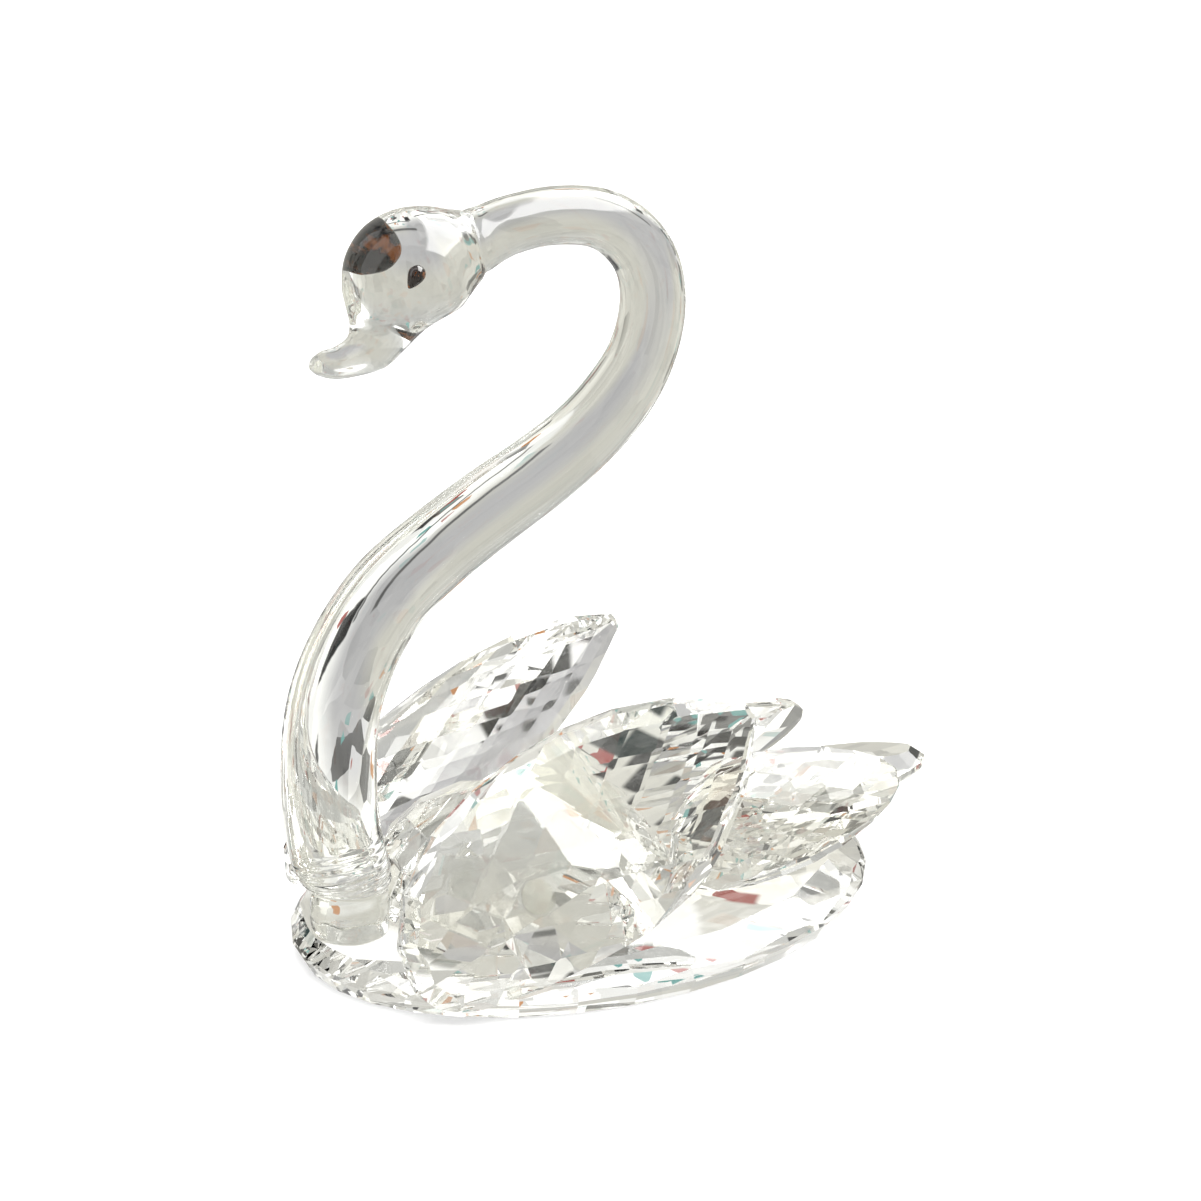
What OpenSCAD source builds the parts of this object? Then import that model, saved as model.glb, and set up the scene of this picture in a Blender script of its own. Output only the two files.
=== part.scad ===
// Crystal swan figurine: cut glass stones and one bent glass rod, glued together.
// The swan faces -X, its left side is -Y, and the flat underside of the base lies on Z = 0.

/* [Overall] */
// Height from the table to the top of the neck's arch
overall_h = 90; // [88:0.5:92]

/* [Base stone] */
// Length of the oval base stone
base_l = 73; // [72:0.5:75]
// Width of the oval base stone
base_w = 51.8; // [51.4:0.2:53]
// Height of the table, the flat top of the base stone
base_h = 4.8; // [4.6:0.1:4.8]
// Height of the girdle, the base stone's widest line
base_girdle_h = 2.4; // [2.2:0.1:2.6]

/* [Wing stones] */
// Length of a wing from its round end to its tip
wing_l = 50.5; // [49:0.5:51]
// Width of a wing across its middle
wing_w = 27.4; // [26:0.2:28]
// Thickness of a wing
wing_t = 8; // [7.4:0.1:8.2]
// How far a wing's tip is raised
wing_pitch = 29.4; // [28.6:0.1:30]
// How far a wing stands up from lying flat
wing_roll = 67.5; // [66:0.1:69]

/* [Tail stones] */
// Length of a side tail stone
side_tail_l = 34; // [33:0.5:35]
// Width of a side tail stone
side_tail_w = 15.2; // [14.8:0.1:15.6]
// Length of the middle tail stone
mid_tail_l = 34; // [33:0.5:35]
// Width of the middle tail stone
mid_tail_w = 13.4; // [12.6:0.1:13.6]
// Thickness of a tail stone
tail_t = 6.6; // [6:0.1:6.8]

/* [Body stone] */
// Length of the body stone between the wings
body_l = 32; // [31:0.5:32]
// Width of the body stone before its sides are ground flat
body_w = 38; // [36:0.5:39]
// Height of the body stone above the base
body_h = 11.5; // [11:0.1:12]

/* [Neck and head] */
// Radius of the stub that the neck stands on
stub_r = 4.7; // [4.5:0.1:4.7]
// Height of the stub
stub_h = 6; // [5.8:0.1:6.2]
// Radius of an eye bead
eye_r = 1.2; // [1:0.05:1.3]

/* [Hidden] */

// Thickness of the cured glue between two stones
glue_t = 0.1;
glass = "#dfe3d6";
glue = "#eef0e6";

// ---- Flat cuts ----

// Everything on the near side of a plane that faces [tilt, turn], in spherical degrees.
module below(cut) {
    block = 200;
    rotate([0, cut[0], cut[1]]) translate([-block / 2, -block / 2, cut[2] - block]) cube(block);
}

// A stone is what is left after one flat cut for each [tilt, turn, distance].
module cut_stone(cuts) {
    intersection_for(cut = cuts) below(cut);
}

// The plane of normal n through point p, as a cut.
function plane_cut(n, p) = [acos(n[2] / norm(n)), atan2(n[1], n[0]), n * p / norm(n)];

// ---- Leaf stones: the wings and the tail ----

// A leaf lies flat, its widest line on Y, its round end towards -X and its tip towards +X.
leaf_power = 2.4;
// Half the width of the blunt tip, and how far back its corners are cut off
tip_half = 1.7;
tip_corner = 0.7;
rim_h = 0.45;
bevel_tilt = 38;
tip_steps = 5;
tip_first = 0.4;
root_steps = 8;

// The share of a pointed leaf that is left when its tip is cut to its blunt width.
function kept(half_w) = pow(1 - tip_half / half_w, 1 / leaf_power);

// Point and outward normal on the leaf's outline: the tip's side curves, then the round end.
function tip_edge(point, half_w, u, side) =
    [[point * u, side * half_w * (1 - pow(u, leaf_power)), 0],
     [leaf_power * half_w / point * pow(u, leaf_power - 1), side, 0]];
function root_edge(root, half_w, a) =
    [[root * cos(a), half_w * sin(a), 0], [half_w * cos(a), root * sin(a), 0]];
function leaf_edges(root, tip, half_w) =
    let (share = kept(half_w))
    concat(
        [[[tip, 0, 0], [1, 0, 0]]],
        [for (side = [-1, 1]) [[tip - tip_corner, side * tip_half, 0], [1, side, 0]]],
        [for (side = [-1, 1], i = [0 : tip_steps - 1])
            tip_edge(tip / share, half_w, share * (i + tip_first) / tip_steps, side)],
        [for (i = [0 : root_steps - 1]) root_edge(root, half_w, 90 + (i + 0.5) * 180 / root_steps)]);

// Cuts along the outline: the upright rim, and a bevel above and below it.
function rim_cuts(edges) = [for (e = edges) plane_cut(e[1], e[0])];
function bevel_cuts(edges, up) = [for (e = edges)
    plane_cut([e[1][0] / norm(e[1]), e[1][1] / norm(e[1]), up / tan(bevel_tilt)], e[0] + [0, 0, up * rim_h])];

// Tangent cuts on a shallow dome at staggered points, which leave a harlequin of long lozenges.
// The dome's top is a little towards the tip, and the dome runs out past the leaf's outline.
dome_middle = 0.13;
dome_reach_x = 0.58;
dome_reach_y = 1.12;
// Share of the leaf's length and width that carries lozenges
lozenge_x = 0.96;
lozenge_y = 0.93;
lozenge_spare = 0.3;
function has_lozenge(s, y, half_w) =
    abs(s) < lozenge_x
    && abs(y) < lozenge_y * half_w * (1 - pow(abs(s), leaf_power)) + lozenge_spare;
function dome_cuts(root, tip, half_w, height, step, phase, up) =
    let (mid = tip * dome_middle, a = (root + tip) * dome_reach_x, b = half_w * dome_reach_y,
         nx = ceil((root + tip) / step[0]), ny = ceil(half_w / step[1]))
    [for (i = [-nx : nx], j = [-ny : ny])
        let (x = mid + i * step[0], y = j * step[1], s = x > 0 ? x / tip : x / root)
        if ((i + j + phase) % 2 == 0 && has_lozenge(s, y, half_w))
            let (gx = 2 * height * (x - mid) / (a * a), gy = 2 * height * y / (b * b),
                 z = height * (1 - pow((x - mid) / a, 2) - pow(y / b, 2)))
                plane_cut([gx, gy, up], [x, y, up * z])];

// t_out and t_in are the heights of the outer and inner domes, step is half a lozenge each way.
module leaf_stone(root, tip, half_w, t_out, t_in, step) {
    edges = leaf_edges(root, tip, half_w);
    cut_stone(concat(rim_cuts(edges), bevel_cuts(edges, 1), bevel_cuts(edges, -1),
                     dome_cuts(root, tip, half_w, t_out, step, 0, 1),
                     dome_cuts(root, tip, half_w, t_in, step, 1, -1)));
}

// ---- Base stone ----

base_sides = 16;
base_a = base_l / 2;
base_b = base_w / 2;
crown_side_tilt = 35;
crown_end_tilt = 58;
upper_girdle_tilt = 60;
lower_girdle_tilt = 118;
girdle_band = 0.4;
// Star facets round the table, which stop short of the neck's end
star_tilt = 17;
star_inset = 4.6;
star_limit = -0.9;

// Direction and distance of the oval's tangent at parameter t.
function oval_turn(t) = atan2(sin(t) / base_b, cos(t) / base_a);
function oval_reach(turn) = sqrt(pow(base_a * cos(turn), 2) + pow(base_b * sin(turn), 2));
function crown_tilt(t) = crown_side_tilt + (crown_end_tilt - crown_side_tilt) * pow(abs(cos(t)), 4);
function base_cut(t, tilt, z, inset) =
    let (turn = oval_turn(t))
        [tilt, turn, sin(tilt) * (oval_reach(turn) - inset) + cos(tilt) * z];

crown_cuts = [for (i = [0 : base_sides - 1])
    let (t = (i + 0.5) * 360 / base_sides)
        base_cut(t, crown_tilt(t), base_girdle_h + girdle_band, 0)];
star_cuts = [for (i = [0 : base_sides - 1])
    let (t = i * 360 / base_sides)
        if (cos(t) > star_limit) base_cut(t, star_tilt, base_h, star_inset)];
girdle_cuts = [for (i = [0 : 2 * base_sides - 1])
    base_cut((i + 0.5) * 180 / base_sides, 90, 0, 0)];
upper_girdle_cuts = [for (i = [0 : 2 * base_sides - 1])
    base_cut((i + 0.5) * 180 / base_sides, upper_girdle_tilt, base_girdle_h + girdle_band / 2, 0)];
lower_girdle_cuts = [for (i = [0 : 2 * base_sides - 1])
    base_cut((i + 0.5) * 180 / base_sides, lower_girdle_tilt, base_girdle_h - girdle_band, 0)];

// The crown facet that the left wing leans on.
seat_t = 236.25;
seat_cut = base_cut(seat_t, crown_tilt(seat_t), base_girdle_h + girdle_band, 0);

module base_stone() {
    flat_cuts = [[0, 0, base_h], [180, 0, 0]];
    rim = concat(girdle_cuts, upper_girdle_cuts, lower_girdle_cuts);
    color(glass) cut_stone(concat(flat_cuts, crown_cuts, star_cuts, rim));
}

// ---- Wings ----

wing_root = wing_l * 0.39;
wing_tip = wing_l - wing_root;
wing_middle = [-13.5, -16.4, 13.9];
wing_yaw = 1.3;
wing_outer_t = wing_t * 0.56;
wing_inner_t = wing_t - wing_outer_t;
wing_lozenge = [4.7, 2.3];
// The ground flat on a wing's inner face, where it is glued to the body
wing_flat = [170.6, -133, wing_t * 0.42];

module on_wing() {
    translate(wing_middle) rotate([wing_roll, -wing_pitch, wing_yaw]) children();
}

module wing() {
    color(glass) difference() {
        on_wing() intersection() {
            leaf_stone(wing_root, wing_tip, wing_w / 2, wing_outer_t, wing_inner_t, wing_lozenge);
            below(wing_flat);
        }
        below(seat_cut + [0, 0, glue_t]);
    }
}

module wing_left() {
    wing();
}

module wing_right() {
    mirror([0, 1, 0]) wing();
}

// ---- Tail ----

side_tail_root = side_tail_l * 0.36;
side_tail_tip = side_tail_l - side_tail_root;
mid_tail_root = mid_tail_l * 0.46;
mid_tail_tip = mid_tail_l - mid_tail_root;
mid_tail_middle = [29.9, 0, 9.4];
// The middle stone's deeper lower dome stands on the base
mid_tail_under_t = tail_t * 0.72;
side_tail_middle = [15.7, -9.9, 11.7];
side_tail_turn = [67, -4, -2.6];
tail_lozenge = [3.9, 1.9];

module above_base() {
    difference() {
        children();
        below([0, 0, base_h + glue_t]);
    }
}

module side_tail() {
    color(glass) above_base()
        translate(side_tail_middle) rotate(side_tail_turn)
            leaf_stone(side_tail_root, side_tail_tip, side_tail_w / 2,
                       tail_t / 2, tail_t / 2, tail_lozenge);
}

module tail_left() {
    side_tail();
}

module tail_right() {
    mirror([0, 1, 0]) side_tail();
}

module tail_middle() {
    color(glass) above_base()
        translate(mid_tail_middle)
            leaf_stone(mid_tail_root, mid_tail_tip, mid_tail_w / 2,
                       tail_t / 2, mid_tail_under_t, tail_lozenge);
}

// ---- Body stone ----

body_x = -9.6;
// Rings of facets: [tilt, number of facets]
body_rings = [[0, 1], [24, 8], [44, 12], [64, 14], [82, 16]];
function body_reach(tilt, turn) = norm([body_l / 2 * sin(tilt) * cos(turn),
                                        body_w / 2 * sin(tilt) * sin(turn), body_h * cos(tilt)]);

module body_stone() {
    cuts = [for (ring = body_rings, i = [0 : ring[1] - 1])
        let (turn = (i + 0.5) * 360 / ring[1])
            [ring[0], turn, body_reach(ring[0], turn)]];
    color(glass) difference() {
        translate([body_x, 0, base_h + glue_t]) cut_stone(concat(cuts, [[180, 0, 0]]));
        for (side = [0, 1]) mirror([0, side, 0]) on_wing() below(wing_flat + [0, 0, glue_t]);
    }
}

// ---- Neck, head and bill: one bent and drawn glass rod ----

stub_x = -30.9;
foot_z = base_h + stub_h + 2 * glue_t;
// The stations are drawn for a foot at 11 and a top at 90, and stretched to the heights set above.
drawn_foot_z = 11;
drawn_top_z = 90;
rise = (overall_h - foot_z) / (drawn_top_z - drawn_foot_z);
function up_rod(z) = foot_z + (z - drawn_foot_z) * rise;

// Stations along the rod: [x, z, heading, half height, half width], from the foot to the bill's tip.
stations = [
    [-30.9, 11, 90, 4.8, 4.8], [-31.5, 12.6, 98, 5.3, 5.3], [-32.3, 15, 98, 5.5, 5.5],
    [-33, 20, 92, 5.5, 5.5], [-33.1, 25.5, 89, 5.5, 5.5], [-32.6, 31.5, 80, 5.4, 5.4],
    [-31.1, 36.5, 69, 5.3, 5.3], [-28.4, 41.5, 56, 5.1, 5.1], [-24.3, 46.2, 42, 4.9, 4.9],
    [-18.3, 50.2, 31, 4.7, 4.7], [-11.8, 53.7, 27, 4.6, 4.6], [-5.5, 56.8, 29, 4.4, 4.4],
    [0.2, 60.2, 37, 4.2, 4.2], [4.7, 64.2, 48, 4.1, 4.1], [7.8, 68.7, 64, 3.9, 3.9],
    [9.2, 74, 84, 3.8, 3.8], [8.6, 79, 108, 3.7, 3.7], [6.1, 82.9, 134, 3.6, 3.6],
    [2.1, 85.6, 156, 3.4, 3.4], [-3.6, 86.7, 176, 3.3, 3.3], [-9.1, 86.4, 187, 3.3, 3.3],
    [-12.7, 85.4, 192, 3.6, 3.5], [-14.9, 84.8, 194, 4.4, 4.2], [-17, 84.6, 199, 5.5, 5.4],
    [-19.4, 84.1, 208, 6.5, 6.5], [-21.8, 83.1, 219, 6.8, 6.7], [-23.7, 81.4, 230, 6.3, 6.2],
    [-24.9, 79.3, 237, 5.2, 5.1], [-25.4, 77.4, 240, 4.1, 4], [-26, 75.9, 235, 3.2, 3.4],
    [-27.2, 74.5, 223, 2.5, 3], [-29.5, 73.9, 208, 1.9, 2.6], [-31.7, 73.8, 195, 1.6, 2.2],
    [-33.2, 73.8, 190, 1, 1.4], [-33.9, 73.8, 188, 0.3, 0.4]];
steps = 2;
sides = 20;

// Smooth curve through the stations (Catmull-Rom).
function between(p0, p1, p2, p3, u) =
    0.5 * (2 * p1 + (p2 - p0) * u + (2 * p0 - 5 * p1 + 4 * p2 - p3) * u * u
           + (3 * p1 - p0 - 3 * p2 + p3) * u * u * u);
function station(k) = stations[max(0, min(len(stations) - 1, k))];
rings = [for (k = [0 : len(stations) - 2], i = [0 : steps - 1])
            between(station(k - 1), station(k), station(k + 1), station(k + 2), i / steps),
         station(len(stations) - 1)];
function ring_point(r, a) =
    let (out = r[3] * cos(a))
        [r[0] + out * sin(r[2]), r[4] * sin(a), up_rod(r[1] - out * cos(r[2]))];

module rod() {
    count = len(rings);
    points = [for (r = rings, i = [0 : sides - 1]) ring_point(r, i * 360 / sides)];
    skin = [for (k = [0 : count - 2], i = [0 : sides - 1])
        let (j = (i + 1) % sides)
            each [[k * sides + i, (k + 1) * sides + i, k * sides + j],
                  [k * sides + j, (k + 1) * sides + i, (k + 1) * sides + j]]];
    foot = [for (i = [0 : sides - 1]) i];
    end = [for (i = [sides - 1 : -1 : 0]) (count - 1) * sides + i];
    polyhedron(points, concat(skin, [foot, end]));
}

// Middle of an eye bead on the head's left side
eye_middle = [-23.8, -6.1, up_rod(84.6)];

module eye_bead() {
    translate(eye_middle) sphere(eye_r, $fn = 48);
}

module neck() {
    color(glass) difference() {
        rod();
        eye_bead();
        mirror([0, 1, 0]) eye_bead();
    }
}

module neck_stub() {
    color(glass) translate([stub_x, 0, base_h + glue_t]) cylinder(h = stub_h, r = stub_r, $fn = 96);
}

module eye_left() {
    color("#2a1710") eye_bead();
}

module eye_right() {
    color("#2a1710") mirror([0, 1, 0]) eye_bead();
}

// ---- Cured glue ----

stub_glue_r = stub_r - 0.5;
neck_glue_r = stub_r - 0.2;
body_glue_r = 12;
mid_tail_glue_r = 1.5;
side_tail_glue_r = 0.5;
side_tail_glue = [side_tail_middle[0] - 0.5, 12.5];

module glue_disc(r) {
    cylinder(h = glue_t, r = r, $fn = 64);
}

module stub_glue() {
    color(glue) translate([stub_x, 0, base_h]) glue_disc(stub_glue_r);
}

module neck_glue() {
    color(glue) translate([stub_x, 0, base_h + glue_t + stub_h]) glue_disc(neck_glue_r);
}

module body_glue() {
    color(glue) translate([body_x, 0, base_h]) glue_disc(body_glue_r);
}

// A disc in the gap behind the face of a cut, at [x, y] across the plane.
module glue_on_cut(cut, at, r) {
    rotate([0, cut[0], cut[1]]) translate([at[0], at[1], cut[2]]) glue_disc(r);
}

// Where the drops of glue sit on a wing's flat and on the base's facet, and their radii
body_spot = [-1.4, -0.9];
body_spot_r = 1.9;
seat_spot = [19.7, -9.7];
seat_spot_r = 0.9;

module wing_glue() {
    color(glue) {
        on_wing() glue_on_cut(wing_flat, body_spot, body_spot_r);
        glue_on_cut(seat_cut, seat_spot, seat_spot_r);
    }
}

module wing_left_glue() {
    wing_glue();
}

module wing_right_glue() {
    mirror([0, 1, 0]) wing_glue();
}

module tail_glue() {
    color(glue) {
        translate([mid_tail_middle[0], 0, base_h]) glue_disc(mid_tail_glue_r);
        for (side = [-1, 1])
            translate([side_tail_glue[0], side * side_tail_glue[1], base_h]) glue_disc(side_tail_glue_r);
    }
}

base_stone();
body_stone();
wing_left();
wing_right();
tail_left();
tail_right();
tail_middle();
neck_stub();
neck();
eye_left();
eye_right();
stub_glue();
neck_glue();
body_glue();
wing_left_glue();
wing_right_glue();
tail_glue();
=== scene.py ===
# %% [markdown]
# # A crystal swan
#
# This is a small table ornament: flat-cut crystal stones and one bent glass rod, held together by drops of
# clear glue. The stones are already exact solids, because they are nothing but flat cuts, so they come from
# the frame as they are. What this script adds is the glass itself, the soft fire-polished rod, the eyes,
# and a studio that gives the glass something to bend and mirror.

# %% Load the fixed frame
import math

import bpy
import bmesh
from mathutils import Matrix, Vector, noise


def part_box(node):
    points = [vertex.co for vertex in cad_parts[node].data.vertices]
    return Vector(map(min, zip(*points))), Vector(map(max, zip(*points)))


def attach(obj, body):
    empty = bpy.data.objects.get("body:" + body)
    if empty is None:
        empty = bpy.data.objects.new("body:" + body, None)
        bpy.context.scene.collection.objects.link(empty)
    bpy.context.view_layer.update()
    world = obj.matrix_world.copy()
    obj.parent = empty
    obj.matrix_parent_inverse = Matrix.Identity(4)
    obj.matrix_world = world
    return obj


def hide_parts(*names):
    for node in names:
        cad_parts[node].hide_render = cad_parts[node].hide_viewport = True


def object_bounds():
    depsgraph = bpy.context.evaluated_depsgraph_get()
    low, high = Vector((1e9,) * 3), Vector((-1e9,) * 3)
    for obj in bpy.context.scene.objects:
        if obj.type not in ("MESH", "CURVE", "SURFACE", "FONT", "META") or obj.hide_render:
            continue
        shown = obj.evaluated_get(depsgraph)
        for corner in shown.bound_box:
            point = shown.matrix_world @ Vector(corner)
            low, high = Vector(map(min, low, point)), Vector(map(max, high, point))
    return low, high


MM = 0.001
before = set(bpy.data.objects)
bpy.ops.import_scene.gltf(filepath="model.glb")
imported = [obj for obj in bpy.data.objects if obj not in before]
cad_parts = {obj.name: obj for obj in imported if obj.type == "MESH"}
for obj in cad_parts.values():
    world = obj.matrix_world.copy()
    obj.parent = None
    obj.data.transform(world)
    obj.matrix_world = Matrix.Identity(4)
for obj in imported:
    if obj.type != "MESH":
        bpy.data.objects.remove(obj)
cad_box = [list(corner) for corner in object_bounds()]
low, high = (Vector(corner) for corner in cad_box)
scene = bpy.context.scene
print("nodes:", len(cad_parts), "size in mm:", [round(v / MM, 1) for v in high - low])

# %% [markdown]
# ## The camera
#
# A long lens from a little above keeps the stones' proportions true. The camera looks at a point a little
# below the middle of the box, because the neck is light and the body is heavy. Azimuth is measured so that
# 0 looks along +Y, and the lens is set by how wide a field it covers at the swan.

# %% Make the camera
CAMERA_AZIMUTH = math.radians(-29.5)
CAMERA_HEIGHT = math.radians(22)
CAMERA_DISTANCE = 450 * MM
FIELD_WIDTH = 140 * MM
AIM_OFFSET = Vector((-2.4, 0, -5.7)) * MM


def away(azimuth, height):
    """The direction from the swan towards something at that azimuth and height."""
    flat = math.cos(height)
    return Vector((math.sin(azimuth) * flat, -math.cos(azimuth) * flat, math.sin(height)))


aim = (low + high) / 2 + AIM_OFFSET
camera_data = bpy.data.cameras.new("camera")
camera_data.angle = 2 * math.atan(FIELD_WIDTH / 2 / CAMERA_DISTANCE)
camera_data.clip_start = 10 * MM
camera_data.clip_end = 50
camera = bpy.data.objects.new("camera", camera_data)
camera.location = aim + away(CAMERA_AZIMUTH, CAMERA_HEIGHT) * CAMERA_DISTANCE
camera.rotation_euler = (aim - camera.location).to_track_quat("-Z", "Y").to_euler()
scene.collection.objects.link(camera)
scene.camera = camera
print("lens in mm:", round(camera_data.lens, 1))

# %% [markdown]
# ## Shader maths as Python
#
# A node tree is easier to read as sums than as boxes and wires. `Value` wraps one socket, so `1 - mask *
# 0.5` adds the Math nodes by itself. Everything that isn't a sum on numbers comes from `Tree.node`, which
# takes a node's type, then its settings, then what goes into its sockets.

# %% Wrap a socket
class Value:
    """One number, colour or vector that comes out of a node."""

    def __init__(self, tree, socket):
        self.tree = tree
        self.socket = socket

    def maths(self, operation, *terms):
        sockets = dict(enumerate(terms))
        return self.tree.node("ShaderNodeMath", {"operation": operation}, sockets)

    def __add__(self, other):
        return self.maths("ADD", self, other)

    def __radd__(self, other):
        return self.maths("ADD", other, self)

    def __sub__(self, other):
        return self.maths("SUBTRACT", self, other)

    def __rsub__(self, other):
        return self.maths("SUBTRACT", other, self)

    def __mul__(self, other):
        return self.maths("MULTIPLY", self, other)

    def __rmul__(self, other):
        return self.maths("MULTIPLY", other, self)

    def __truediv__(self, other):
        return self.maths("DIVIDE", self, other)

    def size(self):
        return self.maths("ABSOLUTE", self)

    def step(self, start, end):
        """0 before start, 1 after end, and a smooth rise between."""
        settings = {"interpolation_type": "SMOOTHSTEP"}
        sockets = {"Value": self, "From Min": start, "From Max": end}
        return self.tree.node("ShaderNodeMapRange", settings, sockets)


# %% Wrap a node tree
class Tree:
    """A material's or a world's nodes."""

    def __init__(self, owner):
        owner.use_nodes = True
        self.nodes = owner.node_tree.nodes
        self.links = owner.node_tree.links
        self.nodes.clear()

    def node(self, kind, settings=None, sockets=None, out=0):
        made = self.nodes.new(kind)
        for name, value in (settings or {}).items():
            setattr(made, name, value)
        for name, value in (sockets or {}).items():
            if isinstance(value, Value):
                self.links.new(value.socket, made.inputs[name])
            else:
                made.inputs[name].default_value = value
        return Value(self, made.outputs[out]) if made.outputs else None

    def mix(self, share, first, second):
        """Two colours, from all of the first at share 0 to all of the second at share 1."""
        sockets = {0: share, 6: first, 7: second}
        return self.node("ShaderNodeMix", {"data_type": "RGBA"}, sockets, out=2)

    def noise(self, scale, detail=2.0, place=None):
        place = place or self.node("ShaderNodeTexCoord", out=3)
        return self.node("ShaderNodeTexNoise", None, {"Vector": place, "Scale": scale, "Detail": detail})


def finish_of(name, build):
    """A material called name, whose shader build makes."""
    material = bpy.data.materials.new(name)
    tree = Tree(material)
    shader = build(tree)
    tree.node("ShaderNodeOutputMaterial", None, {"Surface": shader})
    return material


# %% [markdown]
# ## Cut crystal
#
# Polished crystal is clear all through, so its shader is one Principled node with full transmission and a
# refractive index a little above window glass. A real stone is never perfect: fingers leave a film that
# blurs the shine in places, and the melt has a faint straw tint. The film drives Roughness, the tint drives
# Base Color, and the constant parts sit on the shader's own sockets.

# %% Clear glass with a film of handling
CRYSTAL_INDEX = 1.54
CRYSTAL_CLEAR = (0.988, 0.988, 0.972, 1)
CRYSTAL_STRAW = (0.962, 0.958, 0.92, 1)
CLOUD_SCALE = 55.0
FILM_SCALE = 140.0
FILM_ROUGHNESS = 0.03


def crystal(tree):
    cloud = tree.noise(CLOUD_SCALE).step(0.35, 0.75)
    film = tree.noise(FILM_SCALE, 4.0).step(0.56, 0.8)
    sockets = {
        "Base Color": tree.mix(cloud, CRYSTAL_CLEAR, CRYSTAL_STRAW),
        "Roughness": film * FILM_ROUGHNESS,
        "IOR": CRYSTAL_INDEX,
        "Transmission Weight": 1.0,
    }
    return tree.node("ShaderNodeBsdfPrincipled", None, sockets)


crystal_finish = finish_of("cut_crystal", crystal)

# %% [markdown]
# ## Drawn glass
#
# The neck is a rod bent in a flame. Drawing leaves faint cords along it, a few of which are in the mesh
# itself; the finest are a bump that runs lengthwise, so its noise is stretched along the rod through the
# mesh's own UV map. U runs once round the rod and V runs along it, 1 for every 100 mm. A camera only sees
# such fine cords where they bend a light or dark edge, so the bump is kept very faint.

# %% Fire-polished glass with lengthwise cords
DRAWN_INDEX = 1.5
DRAWN_CLEAR = (0.98, 0.985, 0.96, 1)
DRAWN_GREY = (0.955, 0.96, 0.925, 1)
CORD_STRETCH = (9.0, 30.0, 1.0)
CORD_SCALE = 1.6
CORD_STRENGTH = 0.06
CORD_HEIGHT = 0.2 * MM


def drawn(tree):
    place = tree.node("ShaderNodeTexCoord", out=2)
    stretched = tree.node("ShaderNodeVectorMath", {"operation": "MULTIPLY"}, {0: place, 1: CORD_STRETCH})
    cords = tree.noise(CORD_SCALE, 1.0, stretched)
    sockets = {"Height": cords, "Strength": CORD_STRENGTH, "Distance": CORD_HEIGHT}
    bump = tree.node("ShaderNodeBump", None, sockets)
    sockets = {
        "Base Color": tree.mix(tree.noise(60.0), DRAWN_CLEAR, DRAWN_GREY),
        "Roughness": tree.noise(90.0).step(0.55, 0.8) * 0.02,
        "Normal": bump,
        "IOR": DRAWN_INDEX,
        "Transmission Weight": 1.0,
    }
    return tree.node("ShaderNodeBsdfPrincipled", None, sockets)


drawn_finish = finish_of("drawn_glass", drawn)

# %% [markdown]
# ## Cured glue and dark eyes
#
# Cured glue is clear but never optically clean, so it is a rougher, slightly milky glass. The eyes are dark
# glass drops, nearly black with warm brown clouds in them, and a hard shine.

# %% Glue and eye finishes
GLUE_INDEX = 1.49
GLUE_CLEAR = (0.98, 0.98, 0.95, 1)
GLUE_MILKY = (0.92, 0.92, 0.87, 1)
MILK_SCALE = 400.0
EYE_BLACK = (0.012, 0.007, 0.006, 1)
EYE_BROWN = (0.34, 0.11, 0.025, 1)
EYE_GRAIN_SCALE = 900.0


def glue(tree):
    milk = tree.noise(MILK_SCALE, 3.0)
    sockets = {
        "Base Color": tree.mix(milk, GLUE_CLEAR, GLUE_MILKY),
        "Roughness": milk * 0.12 + 0.02,
        "IOR": GLUE_INDEX,
        "Transmission Weight": 1.0,
    }
    return tree.node("ShaderNodeBsdfPrincipled", None, sockets)


def eye(tree):
    grain = tree.noise(EYE_GRAIN_SCALE, 3.0).step(0.5, 0.66)
    sockets = {
        "Base Color": tree.mix(grain, EYE_BLACK, EYE_BROWN),
        "Roughness": grain * 0.15 + 0.05,
        "Coat Weight": 0.5,
        "Coat Roughness": 0.03,
    }
    return tree.node("ShaderNodeBsdfPrincipled", None, sockets)


glue_finish = finish_of("cured_glue", glue)
eye_finish = finish_of("eye_glass", eye)

# %% [markdown]
# ## The stones
#
# Each stone keeps its exact cut faces. No polished edge is perfectly sharp, so a Bevel modifier a tenth of
# a millimetre wide rounds them, and that is what draws the fine light lines between the facets. The glue
# discs touch the stones on both sides, and two glass faces in one place confuse a ray tracer, so each disc
# is drawn in by a hundredth of a millimetre with a Displace modifier after its corners are welded.

# %% Give the stones and the glue their finishes
STONES = ["base_stone", "body_stone", "wing_left", "wing_right", "tail_left", "tail_right", "tail_middle"]
GLUE = ["stub_glue", "neck_glue", "body_glue", "wing_left_glue", "wing_right_glue", "tail_glue"]
GLUE_GAP = 0.01 * MM
EDGE_WIDTH = 0.11 * MM
EDGE_ANGLE = math.radians(1.5)


def dress(node, finish):
    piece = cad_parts[node]
    for place in piece.material_slots:
        place.material = finish
    return piece


for name in STONES:
    stone = dress(name, crystal_finish)
    weld = stone.modifiers.new("weld", "WELD")
    weld.merge_threshold = GLUE_GAP / 10
    edge = stone.modifiers.new("polished edge", "BEVEL")
    edge.width = EDGE_WIDTH
    edge.angle_limit = EDGE_ANGLE
for name in GLUE:
    disc = dress(name, glue_finish)
    weld = disc.modifiers.new("weld", "WELD")
    weld.merge_threshold = GLUE_GAP / 10
    draw_in = disc.modifiers.new("draw in", "DISPLACE")
    draw_in.strength = -GLUE_GAP
    draw_in.mid_level = 0
print("stones:", len(STONES), "glue:", len(GLUE))

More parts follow.
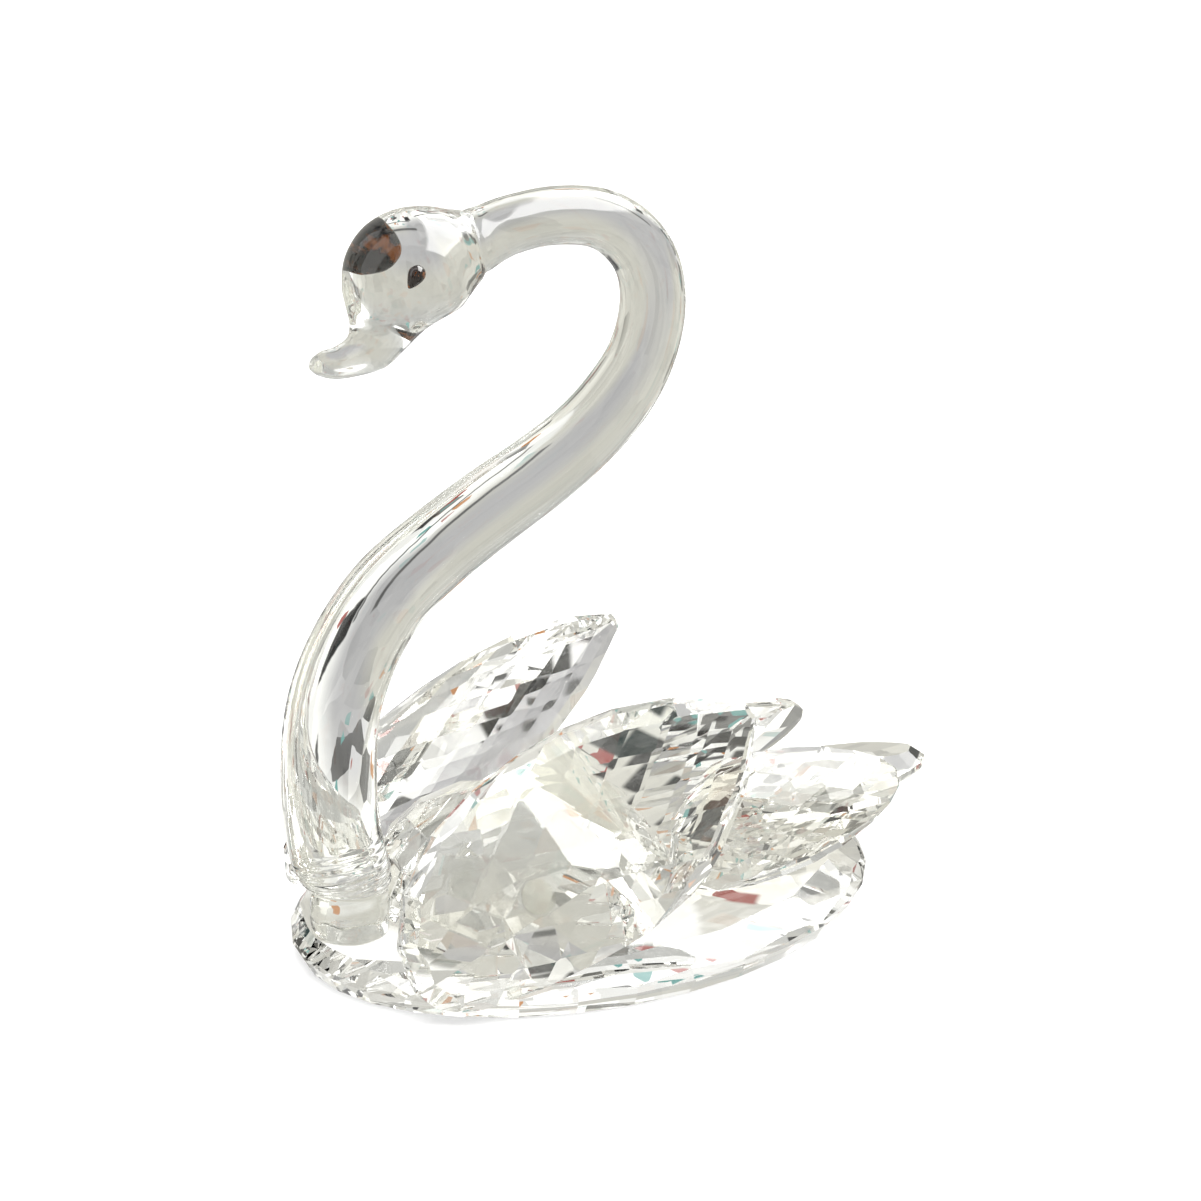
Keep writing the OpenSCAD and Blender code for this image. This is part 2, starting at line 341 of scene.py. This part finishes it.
# %% [markdown]
# ## The neck, head and bill
#
# The swan's neck is one rod, thick at the foot, thin over the arch and swollen again for the head. A curve
# with a bevel can't change from round to oval on the way, so the skin is swept by hand: a few stations give
# the rod's place, heading and two half sizes, a smooth curve runs through them, and a ring of points is
# laid round each step. Heights are stretched to fit the frame's own box.

# %% Stations along the rod
# x, z, heading in degrees, half height, half width, in mm
STATIONS = [
    (-30.9, 11, 90, 4.8, 4.8), (-31.5, 12.6, 98, 5.3, 5.3), (-32.3, 15, 98, 5.5, 5.5),
    (-33, 20, 92, 5.5, 5.5), (-33.1, 25.5, 89, 5.5, 5.5), (-32.6, 31.5, 80, 5.4, 5.4),
    (-31.1, 36.5, 69, 5.3, 5.3), (-28.4, 41.5, 56, 5.1, 5.1), (-24.3, 46.2, 42, 4.9, 4.9),
    (-18.3, 50.2, 31, 4.7, 4.7), (-11.8, 53.7, 27, 4.6, 4.6), (-5.5, 56.8, 29, 4.4, 4.4),
    (0.2, 60.2, 37, 4.2, 4.2), (4.7, 64.2, 48, 4.1, 4.1), (7.8, 68.7, 64, 3.9, 3.9),
    (9.2, 74, 84, 3.8, 3.8), (8.6, 79, 108, 3.7, 3.7), (6.1, 82.9, 134, 3.6, 3.6),
    (2.1, 85.6, 156, 3.4, 3.4), (-3.6, 86.7, 176, 3.3, 3.3), (-9.1, 86.4, 187, 3.3, 3.3),
    (-12.7, 85.4, 192, 3.6, 3.5), (-14.9, 84.8, 194, 4.4, 4.2), (-17, 84.6, 199, 5.5, 5.4),
    (-19.4, 84.1, 208, 6.5, 6.5), (-21.8, 83.1, 219, 6.8, 6.7), (-23.7, 81.4, 230, 6.3, 6.2),
    (-24.9, 79.3, 237, 5.2, 5.1), (-25.4, 77.4, 240, 4.1, 4), (-26, 75.9, 235, 3.2, 3.4),
    (-27.2, 74.5, 223, 2.5, 3), (-29.5, 73.9, 208, 1.9, 2.6), (-31.7, 73.8, 195, 1.6, 2.2),
    (-33.2, 73.8, 190, 1, 1.4), (-33.9, 73.8, 188, 0.3, 0.4),
]
STEPS = 10
SIDES = 72
neck_low, neck_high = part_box("neck")
DRAWN_FOOT, DRAWN_TOP = 11, 90
rise = (neck_high.z - neck_low.z) / (DRAWN_TOP - DRAWN_FOOT)


def up_rod(z):
    """A drawn height in mm, as a height in the frame."""
    return neck_low.z + (z - DRAWN_FOOT) * rise


def between(before, start, end, after, share):
    """A smooth curve from start to end that also heeds the stations on either side."""
    return [
        0.5 * (2 * b + (c - a) * share + (2 * a - 5 * b + 4 * c - d) * share**2
               + (3 * b - a - 3 * c + d) * share**3)
        for a, b, c, d in zip(before, start, end, after)
    ]


def station(index):
    return STATIONS[max(0, min(len(STATIONS) - 1, index))]


rings = [
    between(station(k - 1), station(k), station(k + 1), station(k + 2), i / STEPS)
    for k in range(len(STATIONS) - 1)
    for i in range(STEPS)
]
rings.append(list(STATIONS[-1]))
print("rings:", len(rings))

# %% [markdown]
# ### Cords and the melted foot
#
# A drawn rod isn't a perfect cylinder. Long shallow cords run up it, each fading in and out, and they are
# what gives the fine light and dark lines. Where the foot was melted down it has soft ripples that die away
# in a few millimetres, and a shallow seam runs round behind the head. All are a share of the radius, worked
# out from the angle round the rod and the way along it.

# %% Shape the skin
# Each cord pattern: how many cords round the rod, how they twist, their depth, and where they start
CORDS = [(3, 0.9, 0.0035, 0.4), (7, -0.6, 0.0028, 2.1), (13, 0.35, 0.0016, 4.0), (19, -0.2, 0.0009, 1.3)]
CORD_FADE_LENGTH = 17
CORD_TWIST_LENGTH = 10
RIPPLE_HEIGHT = 4.0
RIPPLE_LENGTH = 1.15
RIPPLE_DEPTH = 0.022
# The seam where the ball of the head meets the neck, between these two stations
SEAM_STATION = 21.7
SEAM_WIDTH = 0.45
SEAM_DEPTH = 0.06
SEAM_WANDER = 0.6
seam_rings = rings[: round(SEAM_STATION * STEPS)]
seam_at = sum(math.hypot(b[0] - a[0], b[1] - a[1]) for a, b in zip(seam_rings, seam_rings[1:]))


def skin_share(angle, along):
    """How far out the skin is there, as a share of the rod's radius."""
    share = 1.0
    for lobes, twist, depth, start in CORDS:
        fade = 0.6 + 0.4 * math.sin(along / CORD_FADE_LENGTH + start * 3)
        share += depth * fade * math.cos(lobes * angle + twist * along / CORD_TWIST_LENGTH + start)
    melt = max(0.0, 1 - along / RIPPLE_HEIGHT)
    wander = 0.5 * math.sin(2 * angle + 1) + 0.3 * math.sin(5 * angle)
    share += RIPPLE_DEPTH * melt * math.sin(math.tau * along / RIPPLE_LENGTH + wander)
    from_seam = (along - seam_at + SEAM_WANDER * math.cos(2 * angle)) / SEAM_WIDTH
    share -= SEAM_DEPTH * math.exp(-from_seam * from_seam)
    return share


def ring_point(ring, angle, along):
    x, z, heading, half_height, half_width = ring
    share = skin_share(angle, along)
    turn = math.radians(heading)
    out = half_height * share * math.cos(angle)
    height = up_rod(z - out * math.cos(turn))
    return Vector(((x + out * math.sin(turn)) * MM, half_width * share * math.sin(angle) * MM, height))


def sweep(rings):
    """The skin of the rod as a closed mesh, with U round it and V along it in a UV map."""
    mesh = bmesh.new()
    uv = mesh.loops.layers.uv.new("along")
    along = [0.0]
    for before, after in zip(rings, rings[1:]):
        along.append(along[-1] + math.hypot(after[0] - before[0], after[1] - before[1]))
    loops = [
        [mesh.verts.new(ring_point(ring, math.tau * i / SIDES, way)) for i in range(SIDES)]
        for ring, way in zip(rings, along)
    ]
    for k in range(len(rings) - 1):
        for i in range(SIDES):
            j = (i + 1) % SIDES
            face = mesh.faces.new([loops[k][i], loops[k][j], loops[k + 1][j], loops[k + 1][i]])
            face.smooth = True
            for corner, (side, ring) in zip(face.loops, ((i, k), (i + 1, k), (i + 1, k + 1), (i, k + 1))):
                corner[uv].uv = (side / SIDES, along[ring] / 100)
    mesh.faces.new(list(reversed(loops[0])))
    mesh.faces.new(loops[-1]).smooth = True
    bmesh.ops.recalc_face_normals(mesh, faces=mesh.faces)
    return mesh, along[-1]


def new_piece(name, mesh, finish):
    """A finished object from a bmesh, riding on the swan."""
    data = bpy.data.meshes.new(name)
    mesh.to_mesh(data)
    mesh.free()
    data.materials.append(finish)
    piece = bpy.data.objects.new(name, data)
    scene.collection.objects.link(piece)
    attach(piece, "root")
    return piece


skin, rod_length = sweep(rings)
neck = new_piece("neck_and_head", skin, drawn_finish)
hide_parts("neck")
print("rod length in mm:", round(rod_length, 1), "faces:", len(neck.data.polygons))

# %% [markdown]
# ## The stub
#
# The short stub under the neck was cut from the same rod. Its ends are softened by the flame and its side
# is a little wavy, so it is turned from a profile and then rippled with a slow noise.

# %% Turn the stub
STUB_SIDES = 96
STUB_RINGS = 26
STUB_EDGE = 0.35 * MM
STUB_WAVE = 0.12 * MM
STUB_GAP = 0.01 * MM


def turned(centre, bottom, top, radius_at, sides, count):
    """A closed turned solid. radius_at takes the share of the height and the angle."""
    mesh = bmesh.new()
    loops = []
    for k in range(count + 1):
        share = k / count
        height = bottom + (top - bottom) * share
        ring = []
        for i in range(sides):
            angle = math.tau * i / sides
            radius = radius_at(share, angle)
            point = (centre.x + radius * math.cos(angle), centre.y + radius * math.sin(angle), height)
            ring.append(mesh.verts.new(point))
        loops.append(ring)
    for lower, upper in zip(loops, loops[1:]):
        for i in range(sides):
            j = (i + 1) % sides
            mesh.faces.new([lower[i], lower[j], upper[j], upper[i]]).smooth = True
    mesh.faces.new(list(reversed(loops[0])))
    mesh.faces.new(loops[-1])
    return mesh


stub_low, stub_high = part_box("neck_stub")
stub_middle = (stub_low + stub_high) / 2
stub_r = (stub_high.y - stub_low.y) / 2


def stub_radius(share, angle):
    from_end = min(share, 1 - share) * (stub_high.z - stub_low.z)
    edge = max(0.0, 1 - from_end / STUB_EDGE)
    wave = noise.noise(Vector((math.cos(angle) * 2, math.sin(angle) * 2, share * 5)))
    return stub_r - STUB_WAVE - STUB_EDGE * edge**2 * 0.5 + STUB_WAVE * wave


turned_stub = turned(
    stub_middle, stub_low.z + STUB_GAP, stub_high.z - STUB_GAP, stub_radius, STUB_SIDES, STUB_RINGS
)
stub = new_piece("stub", turned_stub, drawn_finish)
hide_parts("neck_stub")
print("stub radius in mm:", round(stub_r / MM, 2))

# %% [markdown]
# ## The eyes
#
# Each eye is a drop of dark glass pressed into the soft head. Outside it is small and drawn to a point
# towards the bill. Inside it runs on as a tapering tail, and that tail is what the round head enlarges into
# a big dark glint when the swan is seen from its other side. It starts as a fine sphere whose points are
# pulled.

# %% Pull the eye drops
EYE_POINT = math.radians(-125)
EYE_OUT = 0.75
EYE_LONG = 1.75
# Each drop's width as a share of the frame's, how deep it runs into the head, how wide its tail is, and how
# far the tail leans towards the middle of the head for each mm of its depth
EYE_SHAPES = {"left": (0.85, 1.6 * MM, 0.4, (0, 0)), "right": (0.95, 3.6 * MM, 1.8, (0.65, -0.35))}


def eye_drop(node, name, size, tail, kept, lean):
    eye_low, eye_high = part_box(node)
    middle = (eye_low + eye_high) / 2
    radius = (eye_high.x - eye_low.x) / 2
    outward = 1 if middle.y > 0 else -1
    mesh = bmesh.new()
    bmesh.ops.create_icosphere(mesh, subdivisions=5, radius=1)
    for face in mesh.faces:
        face.smooth = True
    for point in mesh.verts:
        way, out, across = point.co
        inner = max(0.0, -out)
        swell = 1 + (kept - 1) * inner
        x = way * radius * (EYE_LONG if way > 0 else 1) * size * swell
        z = across * radius * size * (1 - 0.5 * max(0.0, way) ** 1.5) * swell
        y = out * (EYE_OUT * radius if out > 0 else tail)
        flat_x = x * math.cos(EYE_POINT) - z * math.sin(EYE_POINT)
        flat_z = x * math.sin(EYE_POINT) + z * math.cos(EYE_POINT)
        depth = max(0.0, -y)
        point.co = middle + Vector((flat_x + lean[0] * depth, y * outward, flat_z + lean[1] * depth))
    if outward < 0:
        bmesh.ops.reverse_faces(mesh, faces=mesh.faces)
    piece = new_piece(name, mesh, eye_finish)
    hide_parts(node)
    return piece


for side in ("left", "right"):
    drop = eye_drop("eye_" + side, "eye_drop_" + side, *EYE_SHAPES[side])
    print(drop.name, len(drop.data.polygons))

# %% [markdown]
# ## What the glass sees
#
# Glass has no colour of its own to light: it shows what is round it, bent and mirrored. A plain white room
# would make a plain white swan. So the room is a pale warm grey, broken into crisp panels of a few
# different tones, with white cards for sparkle, black flags for the dark facets, and small faded red,
# orange and teal panels, which stand for the way cut crystal splits a light's edge. It is one function of
# direction, so the floor can show the same room below the horizon.

# %% Choose the tones
TONE_BELOW = (0.77, 0.76, 0.705, 1)
TONE_LEVEL = (0.63, 0.62, 0.565, 1)
TONE_ABOVE = (0.52, 0.525, 0.515, 1)
PANEL_SCALE = 7.0
PANEL_DARK = 0.25
PANEL_DARK_SHARE = 0.11
PANEL_WHITE = 1.36
PANEL_WHITE_SHARE = 0.28
PANEL_SPREAD = 0.5
PANEL_EDGE = 0.02
SPARK_SCALE = 19.0
# Level and behind the swan the panels fade out, so that the round rod stays calm
CALM_AZIMUTH = 155
CALM_STRENGTH = 0.88
CALM_SPREAD = (0.55, 0.85)
CALM_HEIGHTS = (-0.56, -0.42)
SPARK_SHARE = 0.018
SPARK_EDGE = 0.001
BLACK = (0.012, 0.012, 0.013, 1)
DARK = (0.13, 0.13, 0.13, 1)
LILAC = (0.5, 0.497, 0.51, 1)
DULL_RED = (0.40, 0.09, 0.08, 1)
DULL_ORANGE = (0.62, 0.26, 0.08, 1)
DULL_TEAL = (0.18, 0.42, 0.40, 1)


def white(strength):
    return (strength, strength, strength * 0.98, 1)


# Broad soft areas: azimuth, height, half width and half height in degrees, then softness and colour
AREAS = [
    (152, -46, 24, 18, 0.04, white(0.98)),
    (-150, -50, 24, 15, 0.04, white(1.02)),
    (-172, -27, 24, 9, 0.10, LILAC),
    (160, -16, 18, 8, 0.10, LILAC),
    (-132, -24, 9, 9, 0.06, white(0.98)),
]
# Cards and flags, in the same order
CARDS = [
    (-95, 35, 15, 30, 0.02, white(1.7)),
    (60, 42, 12, 26, 0.02, white(1.5)),
    (-30, 80, 24, 14, 0.02, white(1.7)),
    (-150, 36, 8, 16, 0.02, white(1.5)),
    (-75, -42, 12, 14, 0.02, white(1.3)),
    (42, -48, 13, 12, 0.02, white(1.3)),
    (-30, -74, 16, 7, 0.02, white(1.2)),
    (-29, 24, 10, 12, 0.02, BLACK),
    (-60, 6, 7, 6, 0.02, BLACK),
    (100, 8, 10, 5, 0.02, BLACK),
    (-130, 8, 7, 5, 0.02, BLACK),
    (35, 62, 8, 7, 0.02, BLACK),
    (158, -25.5, 12, 0.9, 0.008, DARK),
    (152, -34, 14, 0.5, 0.005, DARK),
    (-160, -41, 14, 0.7, 0.006, DARK),
    (167.6, -37.5, 3, 3.6, 0.008, BLACK),
    (119, -68, 7, 4, 0.01, BLACK),
    (148, -42, 2.2, 2.2, 0.008, BLACK),
    (108, -41, 3, 3, 0.01, BLACK),
    (-115, -30, 2, 14, 0.02, BLACK),
    (25, -22, 16, 2, 0.02, BLACK),
    (30, 26, 13, 6, 0.01, BLACK),
    (45, -66, 1.8, 2.2, 0.01, DULL_RED),
    (75, -30, 2, 10, 0.01, DULL_TEAL),
]
# A strong soft box high on the swan's right, which lies as a pale patch on the head and along the arch: the
# same five numbers as a card
SOFT_BOX = (80, 49, 38, 21, 0.06)
SOFT_BOX_STRENGTH = 10.0


# %% Lay one rectangle on the sky
# Directions nearly square to the card are kept from dividing by nothing
BESIDE = 0.02


def on_card(tree, direction, azimuth, height, half_width, half_height, soft):
    """1 on a rectangle of the sky, 0 off it."""
    forward = away(math.radians(azimuth), math.radians(height))
    across = Vector((0, 0, 1)).cross(forward).normalized()
    up = forward.cross(across)
    depth, x, y = (
        tree.node("ShaderNodeVectorMath", {"operation": "DOT_PRODUCT"}, {0: direction, 1: axis}, out=1)
        for axis in (forward, across, up)
    )
    front = depth.step(BESIDE, 0.05)
    safe = depth.maths("MAXIMUM", depth, BESIDE)
    width = math.tan(math.radians(half_width))
    tall = math.tan(math.radians(half_height))
    inside_x = 1 - (x / safe).size().step(width - soft, width + soft)
    inside_y = 1 - (y / safe).size().step(tall - soft, tall + soft)
    return front * inside_x * inside_y


# %% Put the room together
def panels(tree, direction, scale):
    """A draw from 0 to 1 for each panel, and a second draw."""
    cells = tree.node("ShaderNodeTexVoronoi", None, {"Vector": direction, "Scale": scale}, out=1)
    return [tree.node("ShaderNodeSeparateColor", None, {0: cells}, out=part) for part in (0, 1)]


def room(tree, direction):
    """The colour of the room in that direction."""
    height = tree.node("ShaderNodeSeparateXYZ", None, {0: direction}, out=2)
    colour = tree.mix(height.step(-0.9, -0.25), TONE_BELOW, TONE_LEVEL)
    colour = tree.mix(height.step(-0.1, 0.7), colour, TONE_ABOVE)
    for *spot, soft, tint in AREAS:
        colour = tree.mix(on_card(tree, direction, *spot, soft), colour, tint)
    behind = away(math.radians(CALM_AZIMUTH), 0)
    facing = tree.node("ShaderNodeVectorMath", {"operation": "DOT_PRODUCT"}, {0: direction, 1: behind}, out=1)
    calm = facing.step(*CALM_SPREAD) * height.step(*CALM_HEIGHTS) * CALM_STRENGTH
    draw, shade = panels(tree, direction, PANEL_SCALE)
    tone = draw.step(PANEL_DARK_SHARE, PANEL_DARK_SHARE + PANEL_EDGE) * (1 - PANEL_DARK) + PANEL_DARK
    white_from = 1 - PANEL_WHITE_SHARE
    tone += draw.step(white_from, white_from + PANEL_EDGE) * (PANEL_WHITE - 1)
    tone = tone * (shade * PANEL_SPREAD + 1 - PANEL_SPREAD / 2) * (1 - calm) + calm
    grey = tree.node("ShaderNodeCombineColor", None, {0: tone, 1: tone, 2: tone})
    settings = {"data_type": "RGBA", "blend_type": "MULTIPLY"}
    colour = tree.node("ShaderNodeMix", settings, {0: 1.0, 6: colour, 7: grey}, out=2)
    pick, _ = panels(tree, direction, SPARK_SCALE)
    for start, spark in ((0.0, DULL_RED), (0.3, DULL_ORANGE), (0.6, DULL_TEAL)):
        near = (pick - (start + SPARK_SHARE / 2)).size()
        struck = 1 - near.step(SPARK_SHARE / 2, SPARK_SHARE / 2 + SPARK_EDGE)
        colour = tree.mix(struck * (1 - calm), colour, spark)
    for *spot, soft, tint in CARDS:
        colour = tree.mix(on_card(tree, direction, *spot, soft), colour, tint)
    return colour


# %% [markdown]
# ### The world, and one soft box
#
# The camera itself sees plain white behind the swan; only what the glass bends or mirrors comes from the
# room. The soft box is stronger than all the rest. Through the stones it would wash every facet out, so
# only mirrored rays see it, and it lies as one clean patch on the head.

# %% Build the world
def studio_world():
    world = bpy.data.worlds.new("studio")
    tree = Tree(world)
    direction = tree.node("ShaderNodeTexCoord", out=0)
    seen = tree.node("ShaderNodeLightPath", out=0)
    mirrored = tree.node("ShaderNodeLightPath", out="Is Reflection Ray")
    soft_box = on_card(tree, direction, *SOFT_BOX) * mirrored
    colour = tree.mix(soft_box, room(tree, direction), white(SOFT_BOX_STRENGTH))
    colour = tree.mix(seen, colour, (1, 1, 1, 1))
    background = tree.node("ShaderNodeBackground", None, {"Color": colour, "Strength": 1.0})
    tree.node("ShaderNodeOutputWorld", None, {"Surface": background})
    scene.world = world
    return len(tree.nodes)


print("world nodes:", studio_world())

# %% [markdown]
# ## The floor and the lamp
#
# A plain pale table, a hair below the swan's flat underside, so that no two surfaces share one plane. The
# camera sees it nearly white with a faint shadow from one soft overhead lamp. What the glass bends towards
# it is the same room as above, so the stones keep their contrast down to the rim.

# %% Lay the floor
FLOOR_SIZE = 6.0
FLOOR_GAP = 0.05 * MM
FLOOR_GLOW = 0.62
FLOOR_WHITE = (0.9, 0.9, 0.9, 1)


def floor(tree):
    place = tree.node("ShaderNodeNewGeometry", out=0)
    offset = tree.node("ShaderNodeVectorMath", {"operation": "SUBTRACT"}, {0: place, 1: aim})
    direction = tree.node("ShaderNodeVectorMath", {"operation": "NORMALIZE"}, {0: offset})
    glimpsed = tree.node("ShaderNodeEmission", None, {"Color": room(tree, direction), "Strength": 1.0})
    matt = tree.node("ShaderNodeBsdfDiffuse", None, {"Color": FLOOR_WHITE})
    glow = tree.node("ShaderNodeEmission", None, {"Color": (1, 1, 1, 1), "Strength": 1.0})
    table = tree.node("ShaderNodeMixShader", None, {0: FLOOR_GLOW, 1: matt, 2: glow})
    seen = tree.node("ShaderNodeLightPath", out=0)
    return tree.node("ShaderNodeMixShader", None, {0: seen, 1: glimpsed, 2: table})


sheet = bmesh.new()
bmesh.ops.create_grid(sheet, x_segments=1, y_segments=1, size=FLOOR_SIZE / 2)
floor_data = bpy.data.meshes.new("floor")
sheet.to_mesh(floor_data)
sheet.free()
floor_data.materials.append(finish_of("floor", floor))
floor_piece = bpy.data.objects.new("floor", floor_data)
floor_piece.location.z = low.z - FLOOR_GAP
scene.collection.objects.link(floor_piece)

# %% Hang the lamp
LAMP_SIZE = 0.6
LAMP_HEIGHT = 0.7
LAMP_POWER = 7.0
LAMP_ASIDE = Vector((-0.15, -0.1, 0))
lamp_data = bpy.data.lights.new("overhead", "AREA")
lamp_data.size = LAMP_SIZE
lamp_data.energy = LAMP_POWER
lamp = bpy.data.objects.new("overhead", lamp_data)
lamp.location = aim + LAMP_ASIDE + Vector((0, 0, LAMP_HEIGHT))
lamp.rotation_euler = (aim - lamp.location).to_track_quat("-Z", "Y").to_euler()
lamp.visible_glossy = False
lamp.visible_transmission = False
scene.collection.objects.link(lamp)

# %% [markdown]
# ## Light paths
#
# In a cut stone the light bounces many times before it leaves, so the mirror and the glass bounces are
# raised: with the usual few, deep facets go falsely black.

# %% Let the light bounce
GLASS_BOUNCES = 32
MIRROR_BOUNCES = 24
scene.cycles.max_bounces = GLASS_BOUNCES
scene.cycles.glossy_bounces = MIRROR_BOUNCES
scene.cycles.transmission_bounces = GLASS_BOUNCES
scene.view_settings.view_transform = "Standard"
